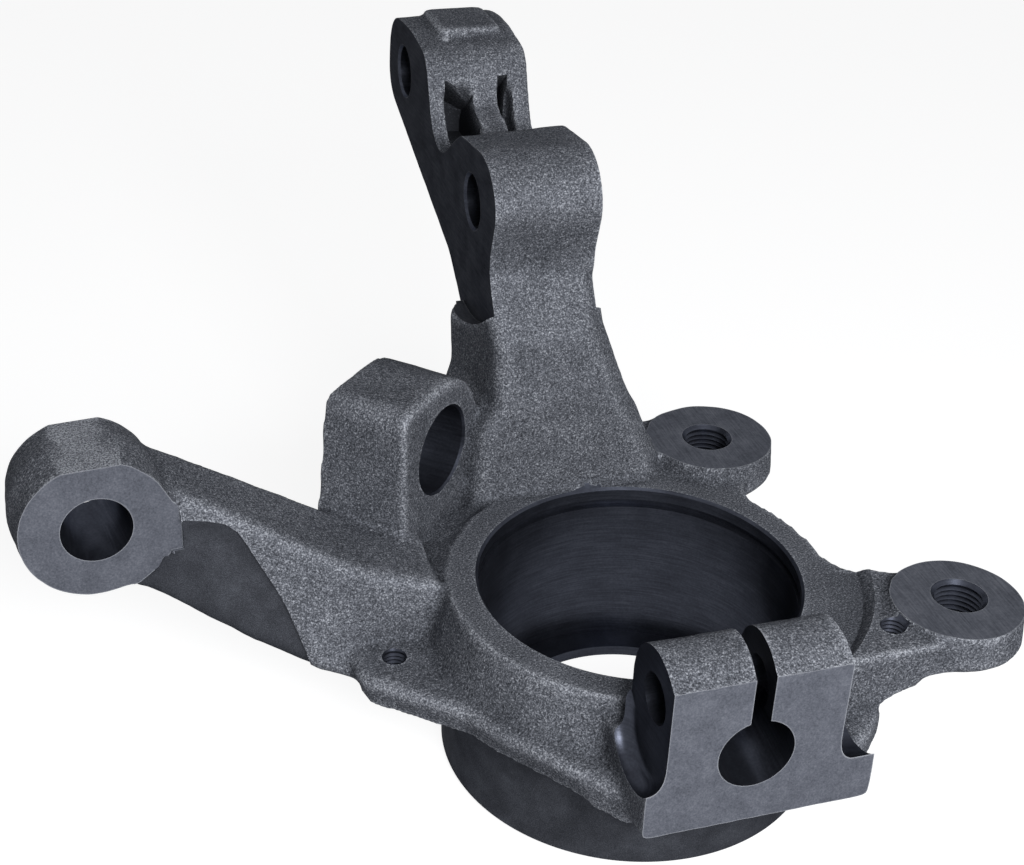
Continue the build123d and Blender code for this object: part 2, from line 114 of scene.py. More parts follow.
def drop(piece):
    mesh = piece.data
    bpy.data.objects.remove(piece)
    bpy.data.meshes.remove(mesh)


def baked(piece):
    """The piece's mesh with its modifiers applied."""
    graph = bpy.context.evaluated_depsgraph_get()
    return bpy.data.meshes.new_from_object(piece.evaluated_get(graph))


def boolean(piece, other, operation, materials):
    """Mesh of the piece with the other cut out of it or joined to it."""
    mod = piece.modifiers.new("cut", "BOOLEAN")
    mod.operation = operation
    mod.solver = "MANIFOLD"
    mod.object = other
    mod.material_mode = materials
    return baked(piece)


def frame_at(origin, direction):
    """Matrix whose Z runs along a direction, from an origin in millimetres."""
    way = Vector(direction).normalized()
    side = Vector((1, 0, 0)) if abs(way.z) > 0.9 else Vector((0, 0, 1))
    along = (side - way * side.dot(way)).normalized()
    turn = Matrix((along, way.cross(along), way)).transposed().to_4x4()
    return Matrix.Translation(vec(*origin)) @ turn


def turned(bm, origin, direction, profile, count=96, start=0.0, sweep=360.0):
    """Adds a body of revolution from (radius, height) points about an axis, in millimetres."""
    place = frame_at(origin, direction)
    whole = sweep >= 360.0
    steps = count if whole else count + 1
    rings = []
    for radius, height in profile:
        if radius == 0:
            rings.append([bm.verts.new(place @ vec(0, 0, height))])
            continue
        ring = []
        for i in range(steps):
            a = math.radians(start + sweep * i / count)
            ring.append(bm.verts.new(place @ vec(radius * math.cos(a), radius * math.sin(a), height)))
        rings.append(ring)
    pairs = list(zip(rings, rings[1:]))
    if len(rings[0]) > 1:
        pairs.append((rings[-1], rings[0]))
    for low, high in pairs:
        if len(low) == 1 and len(high) == 1:
            continue
        for i in range(count):
            j = (i + 1) % steps
            if len(low) == 1:
                bm.faces.new((low[0], high[j], high[i]))
            elif len(high) == 1:
                bm.faces.new((low[i], low[j], high[0]))
            else:
                bm.faces.new((low[i], low[j], high[j], high[i]))
    if not whole:
        for at in (0, -1):
            bm.faces.new([ring[at] for ring in rings])


def drum(bm, origin, direction, radius, low, high, count=96):
    turned(bm, origin, direction, [(0, low), (radius, low), (radius, high), (0, high)], count)


def lofted(bm, rings):
    """Closes rings of equally many vertices to a body, with a face over each end."""
    count = len(rings[0])
    for low, high in zip(rings, rings[1:]):
        for i in range(count):
            j = (i + 1) % count
            bm.faces.new((low[i], low[j], high[j], high[i]))
    bm.faces.new(rings[0])
    bm.faces.new(list(reversed(rings[-1])))


def prism(bm, corners, low, high, far=None):
    """Adds a prism: (y, z) corners, running along X from low to high, where it may end in others."""
    rims = ((low, corners), (high, far or corners))
    lofted(bm, [[bm.verts.new(vec(x, y, z)) for y, z in rim] for x, rim in rims])


def block(bm, low, high, place=Matrix.Identity(4)):
    before = set(bm.verts)
    y0, z0, y1, z1 = low[1], low[2], high[1], high[2]
    prism(bm, [(y0, z0), (y1, z0), (y1, z1), (y0, z1)], low[0], high[0])
    fresh = [v for v in bm.verts if v not in before]
    bmesh.ops.transform(bm, matrix=place, verts=fresh)


def made(bm, name):
    bmesh.ops.recalc_face_normals(bm, faces=bm.faces)
    mesh = bpy.data.meshes.new(name)
    bm.to_mesh(mesh)
    bm.free()
    return new_object(name, mesh)


def face_skin(bm, source, picked, direction, out):
    """Adds a closed plate over the picked flat faces, reaching out beyond them and rooted in the body."""
    way = Vector(direction).normalized()
    faces = [f for f in source.faces if f.normal.dot(way) > 0.995 and picked(f.calc_center_median() / MM)]
    chosen = set(faces)
    top, low = {}, {}
    for f in faces:
        for v in f.verts:
            if v not in top:
                top[v] = bm.verts.new(v.co + way * out * MM)
                low[v] = bm.verts.new(v.co - way * ROOT * MM)
    for f in faces:
        bm.faces.new([top[v] for v in f.verts])
        bm.faces.new([low[v] for v in reversed(f.verts)])
        for loop in f.loops:
            if sum(1 for g in loop.edge.link_faces if g in chosen) == 1:
                a, b = loop.vert, loop.link_loop_next.vert
                bm.faces.new((top[b], top[a], low[a], low[b]))


def eye_axis():
    t = math.radians(EYE_TURN)
    return (-math.sin(t), math.cos(t), 0)


def eye_place():
    """Frame on the eye's front face: X along the face, Y into the eye."""
    return Matrix.Translation(vec(*EYE)) @ Matrix.Rotation(math.radians(EYE_TURN), 4, "Z")


def stud_axis():
    t = math.radians(CLAMP_TURN)
    return (-math.sin(t), math.cos(t), 0)


def sensor_axis():
    a = math.radians(SENSOR_ANGLE)
    return (math.cos(a), math.sin(a), 0)


def sensor_start():
    """Middle of the sensor boss's inner face."""
    return tuple(c * SENSOR_FACE for c in sensor_axis()[:2]) + (SENSOR_Z,)


def on_shield_circle(angle):
    a = math.radians(angle)
    return (SHIELD_R * math.cos(a), SHIELD_R * math.sin(a), 0)


def threaded(core, crest, pitch, low, high):
    """Profile of a tapped hole's wall, from low to high."""
    turns = int((high - low) / pitch)
    start = (low + high - turns * pitch) / 2
    wall = []
    for i in range(turns):
        wall += [(core, start + i * pitch + pitch * 0.12), (crest, start + (i + 0.5) * pitch)]
    return [(core, low)] + wall + [(core, high)]


def add_plugs(bm):
    """Fills every hole, and lays stock where the collar is turned and the eye's facing runs out."""
    drum(bm, CENTRE, UP, BORE_R + STOCK, -HUB_LENGTH - STOCK, 0)
    for x, y in EAR_HOLES:
        drum(bm, (x, y, 0), UP, EAR_HOLE_R + PLUG, -7.5, EAR_TOP + STOCK, 32)
    for y, z in (NEAR_HOLE, FAR_HOLE):
        drum(bm, (0, y, z), ACROSS, STRUT_HOLE_R + PLUG, STRUT_LEFT - STOCK, STRUT_RIGHT + STOCK, 32)
    for angle, low, high, _ in SHIELD_HOLES:
        drum(bm, on_shield_circle(angle), UP, SHIELD_HOLE_R + 1, low, high, 24)
    drum(bm, EYE, eye_axis(), EYE_BORE + PLUG, -STOCK, EYE_LENGTH + STOCK, 32)
    block(bm, (6, -1.8, -8.6), (17.5, 4, -0.8), eye_place())
    drum(bm, CENTRE, UP, COLLAR_R + 1.2, -HUB_LENGTH - STOCK, COLLAR_TOP + 0.4)
    drum(bm, sensor_start(), sensor_axis(), SENSOR_R + 1.8, 0, SENSOR_DEPTH, 48)


def add_clamp(bm):
    """The clamp and the hub's ring behind it, whole again."""
    front, left, right = CLAMP_Y - STOCK, CLAMP_LEFT - CLAMP_STOCK, CLAMP_RIGHT + CLAMP_STOCK
    drum(bm, (0, PINCH_Y, PINCH_Z - 0.4), ACROSS, CLAMP_EAR_R, left, right, 64)
    ears = [(front, -15.4), (-43, -14), (-43, PINCH_Z), (-51, PINCH_Z + 5.5), (front, PINCH_Z + 7.2)]
    prism(bm, ears, left, right)
    base = [(front, -15.3), (-39, -18.2), (-39, -4), (front, 3.6)]
    prism(bm, base, CLAMP_BASE_LEFT, CLAMP_BASE_RIGHT)
    ring = [(30, -18), (50, -18), (50, -12), (47.6, -12), (43.9, -2.2), (42.0, 0), (30, 0)]
    turned(bm, CENTRE, UP, ring)


def add_stock(bm, source):
    """Stock on the milled faces of the ears, the strut arm and the eye."""
    axis, start = Vector(eye_axis()), Vector(EYE)
    face_skin(bm, source, lambda c: abs(c.z - EAR_TOP) < 0.05, (0, 0, 1), STOCK)
    face_skin(bm, source, lambda c: abs(c.x - STRUT_LEFT) < 0.05 and c.z > 30, (-1, 0, 0), SIDE_STOCK)
    face_skin(bm, source, lambda c: abs(c.x - STRUT_RIGHT) < 0.05 and c.z > 30, (1, 0, 0), SIDE_STOCK)
    for depth, way in ((0, -axis), (EYE_LENGTH, axis)):
        face_skin(bm, source, lambda c: abs((c - start).dot(axis) - depth) < 0.05 and c.x < -95, way, STOCK)


def add_saddles(bm):
    """Cast metal between the rim, the sensor boss and the steering arm, and on the web before facing."""
    boss = [(38, -18), (53, -18), (53, -4), (47, -2), (42.8, -0.7), (38, -0.7)]
    turned(bm, CENTRE, UP, boss, 40, 75, 93)
    web = [(44, -4), (48, -4), (51.5, 2.2), (44, 2.2)]
    turned(bm, CENTRE, UP, web, 24, -49, 35)


def rough_casting():
    """The casting before machining: the solid with its holes plugged and stock left on its milled faces."""
    source = bmesh.new()
    source.from_mesh(CAD.data)
    bmesh.ops.remove_doubles(source, verts=source.verts, dist=MERGE)
    source.normal_update()
    bm = source.copy()
    add_plugs(bm)
    add_clamp(bm)
    add_stock(bm, source)
    add_saddles(bm)
    source.free()
    return made(bm, "rough_casting")


def remeshed(piece, size):
    mod = piece.modifiers.new("remesh", "REMESH")
    mod.mode = "VOXEL"
    mod.voxel_size = size * MM
    mod.use_smooth_shade = True
    mesh = baked(piece)
    drop(piece)
    return mesh


def vertex_normals(co, quads):
    a, b, c, d = (co[quads[:, i]] for i in range(4))
    flat = np.cross(c - a, d - b)
    total = np.zeros_like(co)
    for i in range(4):
        for k in range(3):
            total[:, k] += np.bincount(quads[:, i], weights=flat[:, k], minlength=len(co))
    length = np.linalg.norm(total, axis=1)
    return total / np.maximum(length, 1e-12)[:, None]


def neighbour_sum(co, edges):
    total = np.empty_like(co)
    for k in range(3):
        total[:, k] = (np.bincount(edges[:, 0], weights=co[edges[:, 1], k], minlength=len(co))
                       + np.bincount(edges[:, 1], weights=co[edges[:, 0], k], minlength=len(co)))
    return total


def soften(mesh, rounds):
    """Rounds a cast mesh: hollow corners by much, outer edges by less, as sand moulds leave them."""
    count = len(mesh.vertices)
    co = np.empty(count * 3)
    mesh.vertices.foreach_get("co", co)
    co = co.reshape(-1, 3)
    edges = np.empty(len(mesh.edges) * 2, dtype=np.int64)
    mesh.edges.foreach_get("vertices", edges)
    edges = edges.reshape(-1, 2)
    quads = np.array([(tuple(p.vertices) * 2)[:4] if len(p.vertices) == 3 else tuple(p.vertices)
                      for p in mesh.polygons], dtype=np.int64)
    valence = np.bincount(edges.ravel(), minlength=count)
    for _ in range(rounds):
        pull = neighbour_sum(co, edges) / valence[:, None] - co
        normal = vertex_normals(co, quads)
        along = (pull * normal).sum(1)
        weight = np.where(along > 0, FILL, SHAVE)
        co = co + normal * (along * weight)[:, None] + (pull - normal * along[:, None]) * SLIDE
    return co, vertex_normals(co, quads)


def rises(value, start, width):
    """0 up to the start, 1 beyond its width, and smooth between."""
    t = np.clip((value - start) / width, 0, 1)
    return t * t * (3 - 2 * t)


def under_boss(co):
    """Draws the front of the strut arm back between the near boss and the leg."""
    x, y, z = (co / MM).T
    amount = HOLLOW * rises(-z, -68, 14) * rises(z, 36, 13) * rises(-y, -58, 5)
    co = co.copy()
    co[:, 1] += amount * MM
    return co


def under_flange(co):
    """Leans the side of the flange in below its rounded rim, except at the clamp and the near web."""
    x, y, z = (co / MM).T
    r = np.hypot(x, y)
    clamp = rises(-y, 42, 6) * rises(x, -32, 6)
    web = rises(-y, 26, 6) * rises(x, 4, 6)
    kept = 1 - np.maximum(clamp, web)
    amount = UNDERCUT * rises(-z, 13.2, 5.5) * rises(r, 45, 4) * kept * (z > -25)
    co = co.copy()
    co[:, 0] -= x / np.maximum(r, 1) * amount * MM
    co[:, 1] -= y / np.maximum(r, 1) * amount * MM
    return co


def uneven(co, normal):
    """Slight waviness of the cast skin, in the shape itself."""
    lift = np.empty(len(co))
    for i, p in enumerate(co):
        v = Vector(p) / MM
        lift[i] = sum(noise.noise(v / length) * height for length, height in WAVES)
    return co + normal * (lift * MM)[:, None]


def level_rim(co):
    """Lays the hub's rim flat again, at the height where it is faced."""
    level = (np.abs(co[:, 2]) < RIM_SLACK * MM) & (np.hypot(co[:, 0], co[:, 1]) < RIM_R * MM)
    co[level, 2] = 0


def front_faces():
    """Milled front of the clamp and both faces of the eye."""
    bm = bmesh.new()
    block(bm, (-40, CLAMP_Y - 6, -30), (45, CLAMP_Y, 40))
    drum(bm, EYE, eye_axis(), EYE_FACE_R, -6, 0)
    drum(bm, EYE, eye_axis(), EYE_BACK_R, EYE_LENGTH, EYE_LENGTH + 6)
    return made(bm, "front_faces")


def facing_corner():
    """The corner of the eye's facing, where it runs out on the arm."""
    bm = bmesh.new()
    block(bm, (4, -5, -8.3), (17.5, 0, -1), eye_place())
    return made(bm, "facing_corner")


def flat_faces():
    """Milled tops of the ears and the right side of the strut arm."""
    bm = bmesh.new()
    for x, y, radius in EAR_BOSSES:
        drum(bm, (x, y, 0), UP, radius + EAR_DISC, EAR_TOP, EAR_TOP + 5)
    for (y, z), radius, deep in ((NEAR_HOLE, STRUT_FACE_R, 9), (FAR_HOLE, FAR_SEAT_R, 6)):
        drum(bm, (0, y, z), ACROSS, radius, STRUT_RIGHT, STRUT_RIGHT + deep)
    return made(bm, "flat_faces")


def rim_facing():
    """Milling over the rim, with a wall that slopes up to the near web."""
    bm = bmesh.new()
    wall = [(30, 0), (FACING_R + 2.0, 0), (FACING_R + 4.6, 2.6), (FACING_R + 4.6, 6), (30, 6)]
    turned(bm, CENTRE, UP, wall, 48, -60, 58)
    return made(bm, "rim_facing")


def collar_turning():
    """The turned outside of the hub collar below the flange."""
    bm = bmesh.new()
    low, chamfer, outer = -HUB_LENGTH - 3, 1.5, 58
    wall = [(outer, low), (COLLAR_R - chamfer, low), (COLLAR_R - chamfer, -HUB_LENGTH),
            (COLLAR_R, -HUB_LENGTH + chamfer), (COLLAR_R, COLLAR_TOP - 1.2),
            (COLLAR_R + 0.4, COLLAR_TOP - 0.3), (COLLAR_R + 1.2, COLLAR_TOP), (outer, COLLAR_TOP)]
    turned(bm, CENTRE, UP, wall, 160)
    return made(bm, "collar_turning")


def collar_end():
    """The faced outboard end of the hub collar."""
    bm = bmesh.new()
    block(bm, (-60, -60, -HUB_LENGTH - 8), (60, 60, -HUB_LENGTH))
    return made(bm, "collar_end")


def left_arc():
    """The milled left side of the strut arm, around the near hole."""
    bm = bmesh.new()
    y, z = NEAR_HOLE
    drum(bm, (0, y, z), ACROSS, STRUT_FACE_R, STRUT_LEFT - 9, STRUT_LEFT, 128)
    return made(bm, "left_arc")


def left_far():
    """The milled left side of the strut arm, on to the far boss."""
    bm = bmesh.new()
    y, z = NEAR_HOLE
    block(bm, (STRUT_LEFT - 9, y + 10, z - 31), (STRUT_LEFT, y + 90, z + 40))
    return made(bm, "left_far")


def left_back():
    """The milled left side of the strut arm, behind the leg."""
    bm = bmesh.new()
    y, z = NEAR_HOLE
    block(bm, (STRUT_LEFT - 9, y + 5, z - 32), (STRUT_LEFT, y + 12, z - 20))
    return made(bm, "left_back")


def eye_crown():
    """The flat along the top of the eye."""
    bm = bmesh.new()
    block(bm, (-140, 0, EYE[2] + EYE_CROWN), (-99, 60, EYE[2] + 30))
    return made(bm, "eye_crown")


def pocket_ends():
    """The ends of the strut pockets, running back under the far boss; the left one slants."""
    bm = bmesh.new()
    y, z = FAR_HOLE
    tall = [(y - 36, z - 13), (y - 13.5, z - 12), (y - 12.6, z - 8), (y - 14, z - 2), (y - 19.5, z + 2),
            (y - 30, z + 11)]
    short = [(y - 36, z - 13), (y - 13.5, z - 12.2), (y - 13.4, z - 9.6), (y - 15.2, z - 6), (y - 20, z - 3),
             (y - 30, z + 6)]
    prism(bm, tall, STRUT_LEFT + 4.2, STRUT_LEFT + 11.2, short)
    prism(bm, tall, STRUT_RIGHT - 7.4, STRUT_RIGHT - 4.8)
    return made(bm, "pocket_ends")


def relief(piece):
    """The clearance ground into the arm's front beside the eye, following the arm's own surface."""
    bm = bmesh.new()
    prism(bm, [(-x, z) for x, z in RELIEF], -8, 25)
    bmesh.ops.transform(bm, matrix=Matrix.Rotation(math.radians(90), 4, "Z"), verts=bm.verts)
    whole = made(bm, "relief")
    shifted = new_object("shifted", piece.data.copy())
    shifted.location.y = RELIEF_DEPTH * MM
    bpy.context.view_layer.update()
    mesh = boolean(whole, shifted, "DIFFERENCE", "INDEX")
    drop(whole)
    drop(shifted)
    mesh.materials.clear()
    return new_object("relief", mesh)


def crown_pad():
    """The raised pad on top of the far boss."""
    bm = bmesh.new()
    y, z = FAR_HOLE
    middle_y = y - PAD_BEFORE_HOLE
    rings = []
    for half_x, half_y, height in PAD_ROWS:
        ring = []
        for side_x, side_y in ((1, 1), (-1, 1), (-1, -1), (1, -1)):
            for step in (-45, 0, 45):
                a = math.radians(step) + math.atan2(side_y, side_x)
                across = side_x * (half_x - PAD_CORNER) + PAD_CORNER * math.cos(a)
                along = side_y * (half_y - PAD_CORNER) + PAD_CORNER * math.sin(a)
                ring.append(bm.verts.new(vec(PAD_X + across, middle_y + along, z + height)))
        rings.append(ring)
    lofted(bm, rings)
    return made(bm, "crown_pad")


def bores():
    """Every round hole, each with its broken edge."""
    bm = bmesh.new()
    below = -HUB_LENGTH - 6
    hub = [(0, below), (LIP_R, below), (LIP_R, -BORE_DEPTH), (BORE_R, -BORE_DEPTH), (BORE_R, GROOVE_LOW),
           (GROOVE_R, GROOVE_LOW), (GROOVE_R, GROOVE_HIGH), (BORE_R, GROOVE_HIGH), (BORE_R, -BORE_BREAK),
           (BORE_R + BORE_BREAK, 0), (BORE_R + BORE_BREAK + 1, 1), (0, 1)]
    turned(bm, CENTRE, UP, hub, 192)
    for x, y in EAR_HOLES:
        wall = threaded(EAR_HOLE_R, EAR_THREAD_R, EAR_THREAD, -7, EAR_TOP - EAR_CHAMFER)
        mouth = [(EAR_HOLE_R + EAR_CHAMFER + 1, EAR_TOP + 1), (0, EAR_TOP + 1)]
        turned(bm, (x, y, 0), UP, [(0, -40), (EAR_HOLE_R, -40)] + wall + mouth, 72)
    for y, z in (NEAR_HOLE, FAR_HOLE):
        r, wide = STRUT_HOLE_R, STRUT_HOLE_R + STRUT_CHAMFER + 1
        hole = [(0, STRUT_LEFT - 1), (wide, STRUT_LEFT - 1), (r, STRUT_LEFT + STRUT_CHAMFER),
                (r, STRUT_RIGHT - STRUT_CHAMFER), (wide, STRUT_RIGHT + 1), (0, STRUT_RIGHT + 1)]
        turned(bm, (0, y, z), ACROSS, hole, 64)
    for angle, low, high, through in SHIELD_HOLES:
        wall = threaded(SHIELD_HOLE_R, SHIELD_THREAD_R, SHIELD_THREAD, low - 1, high - 0.3)
        top = [(SHIELD_HOLE_R + 1.3, high + 1), (0, high + 1)] if through else [(0, high)]
        turned(bm, on_shield_circle(angle), UP, [(0, low - 6), (SHIELD_HOLE_R, low - 6)] + wall + top, 40)
    slim, end = EYE_BORE - EYE_LENGTH / EYE_TAPER / 2, EYE_LENGTH + 1
    taper = [(0, -1), (EYE_BORE, -1), (EYE_BORE, 0), (slim, EYE_LENGTH), (slim, end), (0, end)]
    turned(bm, EYE, eye_axis(), taper, 72)
    wide, end = SENSOR_R + SENSOR_CHAMFER + 1, SENSOR_DEPTH + 3
    sensor = [(0, -1), (wide, -1), (SENSOR_R, SENSOR_CHAMFER), (SENSOR_R, end), (0, end)]
    turned(bm, sensor_start(), sensor_axis(), sensor, 96)
    return made(bm, "bores")


def stud_bore():
    bm = bmesh.new()
    drum(bm, (0, CLAMP_Y, STUD_Z), stud_axis(), STUD_R, -2, STUD_DEPTH, 96)
    return made(bm, "stud_bore")


def clamp_slot():
    bm = bmesh.new()
    place = Matrix.Translation(vec(0, CLAMP_Y, 0)) @ Matrix.Rotation(math.radians(CLAMP_TURN), 4, "Z")
    block(bm, (-SLOT / 2, -8, STUD_Z), (SLOT / 2, 32, 30), place)
    return made(bm, "clamp_slot")


def pinch_hole():
    bm = bmesh.new()
    drum(bm, (0, PINCH_Y, PINCH_Z), ACROSS, PINCH_R, CLAMP_BASE_LEFT - 20, CLAMP_BASE_RIGHT + 20, 64)
    return made(bm, "pinch_hole")


def seat_rim(radius):
    """(y, z) points of a bolt seat: half a circle, open upward at the full width of the seat."""
    points = []
    for i in range(33):
        a = math.pi * (1 + i / 32)
        points.append((PINCH_Y + radius * math.cos(a), SEAT_Z + radius * math.sin(a)))
    sides = ((1, 3), (1, 30), (-1, 30), (-1, 3))
    return points + [(PINCH_Y + side * SEAT_R, SEAT_Z + height) for side, height in sides]


def bolt_seats():
    """The two milled seats for the pinch bolt, each with a round corner at its floor."""
    bm = bmesh.new()
    for inner, outer, way in ((CLAMP_LEFT, CLAMP_BASE_LEFT - 12, -1), (CLAMP_RIGHT, CLAMP_BASE_RIGHT + 6, 1)):
        rows = []
        for k in range(9):
            a = math.pi / 2 * k / 8
            x = inner + way * SEAT_CORNER * (1 - math.cos(a))
            rows.append((x, SEAT_R - SEAT_CORNER * (1 - math.sin(a))))
        rows.append((outer, SEAT_R))
        lofted(bm, [[bm.verts.new(vec(x, y, z)) for y, z in seat_rim(radius)] for x, radius in rows])
    return made(bm, "bolt_seats")


def machined(piece, tool, material, operation="DIFFERENCE"):
    """Cuts the tool out of the piece, or adds it, its faces taking the tool's material."""
    tool.data.materials.append(material)
    mesh = boolean(piece, tool, operation, "TRANSFER")
    old = piece.data
    piece.modifiers.clear()
    piece.data = mesh
    bpy.data.meshes.remove(old)
    drop(tool)


def shader(name):
    mat = bpy.data.materials.new(name)
    mat.use_nodes = True
    tree = mat.node_tree
    tree.nodes.clear()
    return mat, tree


def node(tree, kind, **values):
    made_node = tree.nodes.new(kind)
    for key, value in values.items():
        setattr(made_node, key, value)
    return made_node


def math_node(tree, operation, first, second, clamp=False):
    n = node(tree, "ShaderNodeMath", operation=operation, use_clamp=clamp)
    for socket, value in zip(n.inputs, (first, second)):
        if isinstance(value, (int, float)):
            socket.default_value = value
        else:
            tree.links.new(value, socket)
    return n.outputs[0]


def weighted(tree, *parts):
    """Sum of (value, weight) parts."""
    total = None
    for value, weight in parts:
        part = math_node(tree, "MULTIPLY", value, weight)
        total = part if total is None else math_node(tree, "ADD", total, part)
    return total


def noise_node(tree, vector, scale, detail=2.0, rough=0.5):
    n = node(tree, "ShaderNodeTexNoise")
    n.inputs["Scale"].default_value = scale
    n.inputs["Detail"].default_value = detail
    n.inputs["Roughness"].default_value = rough
    tree.links.new(vector, n.inputs["Vector"])
    return n.outputs["Fac"]


def place_of(tree):
    return node(tree, "ShaderNodeTexCoord").outputs["Object"]


def stretched(tree, vector, scale, rotation=(0, 0, 0)):
    n = node(tree, "ShaderNodeMapping")
    n.inputs["Rotation"].default_value = rotation
    n.inputs["Scale"].default_value = scale
    tree.links.new(vector, n.inputs["Vector"])
    return n.outputs[0]


def linear(r, g, b):
    return tuple(((c / 255 + 0.055) / 1.055) ** 2.4 if c > 10 else c / 255 / 12.92 for c in (r, g, b))


def ramp(tree, value, stops):
    """Colour ramp through (place, 8-bit colour) stops."""
    n = node(tree, "ShaderNodeValToRGB")
    while len(n.color_ramp.elements) < len(stops):
        n.color_ramp.elements.new(0.5)
    for element, (at, colour) in zip(n.color_ramp.elements, stops):
        element.position = at
        element.color = linear(*colour) + (1.0,)
    tree.links.new(value, n.inputs["Fac"])
    return n.outputs["Color"]


def bump(tree, height, distance, strength):
    n = node(tree, "ShaderNodeBump")
    n.inputs["Strength"].default_value = strength
    n.inputs["Distance"].default_value = distance
    tree.links.new(height, n.inputs["Height"])
    return n.outputs["Normal"]


def edge_highlight_and_wear(tree, colour, light, width):
    """Lightens sharp outer edges: a painted edge highlight, together with the coat that handling has polished
    there.
    """
    round_edge = node(tree, "ShaderNodeBevel", samples=4)
    round_edge.inputs["Radius"].default_value = width
    dot = node(tree, "ShaderNodeVectorMath", operation="DOT_PRODUCT")
    tree.links.new(round_edge.outputs[0], dot.inputs[0])
    tree.links.new(node(tree, "ShaderNodeNewGeometry").outputs["Normal"], dot.inputs[1])
    away = math_node(tree, "SUBTRACT", 1.0, dot.outputs["Value"])
    mix = node(tree, "ShaderNodeMixRGB")
    tree.links.new(math_node(tree, "MULTIPLY", away, 9.0, True), mix.inputs["Fac"])
    tree.links.new(colour, mix.inputs["Color1"])
    mix.inputs["Color2"].default_value = linear(*light) + (1.0,)
    return mix.outputs[0]


def surface(tree, colour, roughness, normal, metallic, edge):
    """A part-metal coat without a clear sheen, darkened at grazing angles by its edge tint."""
    body = node(tree, "ShaderNodeBsdfPrincipled")
    out = node(tree, "ShaderNodeOutputMaterial")
    tree.links.new(colour, body.inputs["Base Color"])
    if isinstance(roughness, float):
        body.inputs["Roughness"].default_value = roughness
    else:
        tree.links.new(roughness, body.inputs["Roughness"])
    body.inputs["Metallic"].default_value = metallic
    body.inputs["Specular IOR Level"].default_value = 0.0
    body.inputs["Specular Tint"].default_value = (edge, edge, edge, 1)
    tree.links.new(normal, body.inputs["Normal"])
    tree.links.new(body.outputs[0], out.inputs["Surface"])


def cast_skin():
    """Coated cast iron: fine bright grains over a dark blue-grey coat, with a painted highlight along rounded
    edges and painted shade in hollows.
    """
    mat, tree = shader("cast_skin")
    at = place_of(tree)
    grain = noise_node(tree, at, 2900, 2.0, 0.6)
    lumps = noise_node(tree, at, 1700, 2.0, 0.55)
    stain = noise_node(tree, at, 90, 3.0, 0.6)
    mix = weighted(tree, (grain, 0.62), (lumps, 0.3), (stain, 0.1))
    # Painted light and shade: pointiness lightens rounded outer edges and darkens hollows and creases.
    edge_highlight_crease_shade = math_node(tree, "SUBTRACT", node(tree, "ShaderNodeNewGeometry").outputs["Pointiness"], 0.5)
    mix = math_node(tree, "ADD", mix, math_node(tree, "MINIMUM", math_node(tree, "MULTIPLY", edge_highlight_crease_shade, 1.8), 0.1))
    colour = ramp(tree, mix, [(0.36, (50, 52, 57)), (0.5, (88, 91, 98)), (0.58, (120, 123, 131)),
                              (0.7, (182, 186, 194))])
    rough = math_node(tree, "ADD", weighted(tree, (lumps, 0.25)), 0.42)
    height = weighted(tree, (grain, 0.45), (lumps, 1.0))
    surface(tree, colour, rough, bump(tree, height, 0.00022, 0.8), 0.2, 0.35)
    return mat


def milled(name, painted_light_tone):
    """Milled and coated: smooth, with fine cutter marks; its tone scale paints light and shade, lighter for
    faces toward the lamp, darker for faces turned away.
    """
    mat, tree = shader(name)
    at = place_of(tree)
    marks = noise_node(tree, stretched(tree, at, (1.0, 0.06, 1.0), (0.2, 0.4, 0.7)), 2600)
    cloud = noise_node(tree, at, 160, 3.0, 0.6)
    fleck = noise_node(tree, at, 1500, 2.0, 0.6)
    mix = weighted(tree, (marks, 0.4), (cloud, 0.35), (fleck, 0.25))
    dark, middle, light, edge = ([c * painted_light_tone for c in colour] for colour in
                                 ((76, 79, 87), (92, 95, 104), (108, 111, 120), (150, 153, 160)))
    # The edge colour is a painted highlight along sharp edges, partly also the polished coat.
    colour = edge_highlight_and_wear(tree, ramp(tree, mix, [(0.36, dark), (0.5, middle), (0.64, light)]), edge, 0.00042)
    rough = math_node(tree, "ADD", weighted(tree, (cloud, 0.2)), 0.3)
    height = weighted(tree, (marks, 0.6), (fleck, 0.4))
    surface(tree, colour, rough, bump(tree, height, 0.00005, 0.6), 0.3, 0.3)
    return mat


def smooth_skin():
    """Dark, fine-grained faces: the turned collar and the ground clearance."""
    mat, tree = shader("smooth_skin")
    at = place_of(tree)
    grain = noise_node(tree, at, 4200, 2.0, 0.6)
    cloud = noise_node(tree, at, 140, 3.0, 0.6)
    mix = weighted(tree, (grain, 0.6), (cloud, 0.4))
    colour = ramp(tree, mix, [(0.36, (50, 52, 57)), (0.5, (62, 64, 70)), (0.66, (80, 83, 90))])
    surface(tree, colour, 0.5, bump(tree, grain, 0.00012, 0.6), 0.4, 0.35)
    return mat


def bored():
    """Walls of the bores: turned smooth, with faint rings."""
    mat, tree = shader("bored")
    at = place_of(tree)
    rings = noise_node(tree, stretched(tree, at, (0.05, 0.05, 1.0)), 2400)
    cloud = noise_node(tree, at, 120, 3.0, 0.6)
    fleck = noise_node(tree, at, 1700, 2.0, 0.6)
    mix = weighted(tree, (rings, 0.4), (cloud, 0.35), (fleck, 0.25))
    colour = ramp(tree, mix, [(0.36, (48, 50, 58)), (0.5, (57, 60, 69)), (0.64, (68, 71, 81))])
    rough = math_node(tree, "ADD", weighted(tree, (cloud, 0.15)), 0.26)
    surface(tree, colour, rough, bump(tree, rings, 0.00004, 0.5), 0.75, 0.4)
    return mat


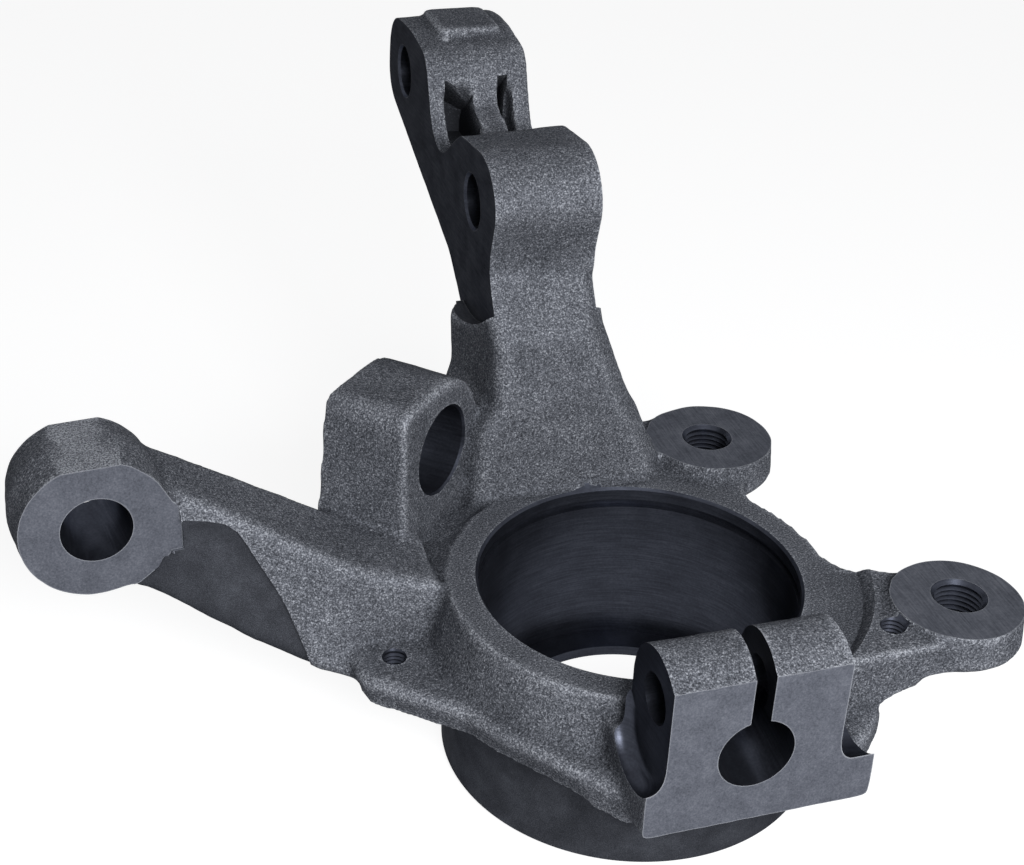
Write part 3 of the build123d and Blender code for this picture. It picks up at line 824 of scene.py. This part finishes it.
def knuckle(quick):
    """The finished casting: rough, smoothed as cast, then machined feature by feature."""
    mesh = remeshed(rough_casting(), QUICK_VOXEL if quick else VOXEL)
    co, normal = soften(mesh, QUICK_ROUNDS if quick else ROUNDS)
    co = uneven(under_flange(under_boss(co)), normal)
    level_rim(co)
    mesh.vertices.foreach_set("co", co.ravel())
    mesh.update()
    skin, bore, smooth = cast_skin(), bored(), smooth_skin()
    # Painted light: one milled coat in lit and shaded copies, lighter on the front faces toward the lamp and
    # darker on the strut's left sides.
    front, top, side = milled("milled_painted_lit", 1.08), milled("milled_top", 0.96), milled("milled_painted_shade", 0.74)
    mesh.materials.clear()
    mesh.materials.append(skin)
    piece = new_object("knuckle_casting", mesh)
    machined(piece, relief(piece), smooth)
    machined(piece, crown_pad(), skin, "UNION")
    for tool, material in ((eye_crown, skin), (pocket_ends, skin), (front_faces, front),
                           (facing_corner, front), (flat_faces, top), (rim_facing, skin), (left_arc, side),
                           (left_far, side), (left_back, side), (bolt_seats, bore), (collar_turning, smooth),
                           (collar_end, top), (bores, bore), (stud_bore, bore), (clamp_slot, bore),
                           (pinch_hole, bore)):
        machined(piece, tool(), material)
    for face in piece.data.polygons:
        face.use_smooth = True
    piece.data.set_sharp_from_angle(angle=math.radians(SHARP_ANGLE))
    return piece


def showing(tree):
    """1 for the rays that see the background: from the camera, off gloss or through glass."""
    path = node(tree, "ShaderNodeLightPath").outputs
    seen = math_node(tree, "MAXIMUM", path["Is Camera Ray"], path["Is Transmission Ray"])
    return math_node(tree, "MAXIMUM", seen, path["Is Glossy Ray"])


def backdrop():
    """White world where it is seen, and a faint blue fill for all other rays."""
    world = bpy.data.worlds.new("studio")
    bpy.context.scene.world = world
    world.use_nodes = True
    tree = world.node_tree
    tree.nodes.clear()
    blend = node(tree, "ShaderNodeMixShader")
    tree.links.new(showing(tree), blend.inputs[0])
    for at, colour, strength in ((1, (0.86, 0.92, 1.0, 1), 0.04), (2, (1, 1, 1, 1), 1.0)):
        light = node(tree, "ShaderNodeBackground")
        light.inputs["Color"].default_value = colour
        light.inputs["Strength"].default_value = strength
        tree.links.new(light.outputs[0], blend.inputs[at])
    out = node(tree, "ShaderNodeOutputWorld")
    tree.links.new(blend.outputs[0], out.inputs["Surface"])


def floor():
    """Pale paper under the hub collar, which takes the shadow and glows only where it is seen."""
    bm = bmesh.new()
    half = 3.0
    corners = ((-half, -half), (half, -half), (half, half), (-half, half))
    bm.faces.new([bm.verts.new((x, y, -HUB_LENGTH * MM)) for x, y in corners])
    paper = made(bm, "floor")
    mat, tree = shader("floor")
    matt = node(tree, "ShaderNodeBsdfDiffuse")
    matt.inputs["Color"].default_value = (0.3, 0.3, 0.31, 1)
    glow = node(tree, "ShaderNodeEmission")
    glow.inputs["Color"].default_value = (1, 1, 1, 1)
    tree.links.new(math_node(tree, "MULTIPLY", showing(tree), 0.9), glow.inputs["Strength"])
    both = node(tree, "ShaderNodeAddShader")
    out = node(tree, "ShaderNodeOutputMaterial")
    tree.links.new(matt.outputs[0], both.inputs[0])
    tree.links.new(glow.outputs[0], both.inputs[1])
    tree.links.new(both.outputs[0], out.inputs["Surface"])
    paper.data.materials.append(mat)


def key_lamp():
    """One soft lamp in front of the part and above it."""
    data = bpy.data.lights.new("key", "AREA")
    data.shape = "RECTANGLE"
    data.size, data.size_y = 0.26, 0.18
    data.energy = 3.3
    azimuth, elevation, distance = math.radians(-2), math.radians(35), 0.55
    way = Vector((math.sin(azimuth) * math.cos(elevation), -math.cos(azimuth) * math.cos(elevation),
                  math.sin(elevation)))
    lamp = bpy.data.objects.new("key", data)
    lamp.location = way * distance
    lamp.rotation_euler = way.to_track_quat("Z", "Y").to_euler()
    bpy.context.scene.collection.objects.link(lamp)


def camera():
    data = bpy.data.cameras.new("camera")
    data.sensor_width = 36.0
    data.sensor_fit = "HORIZONTAL"
    data.lens = FOCAL_LENGTH / PHOTO_WIDTH * data.sensor_width
    data.clip_start = 0.01
    eye = bpy.data.objects.new("camera", data)
    eye.location = vec(*CAMERA_AT)
    eye.rotation_euler = [math.radians(a) for a in CAMERA_TURN]
    bpy.context.scene.collection.objects.link(eye)
    bpy.context.scene.camera = eye


casting = knuckle(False)
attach(casting, "root")
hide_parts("knuckle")
backdrop()
floor()
key_lamp()
camera()
bpy.context.scene.view_settings.view_transform = "Standard"
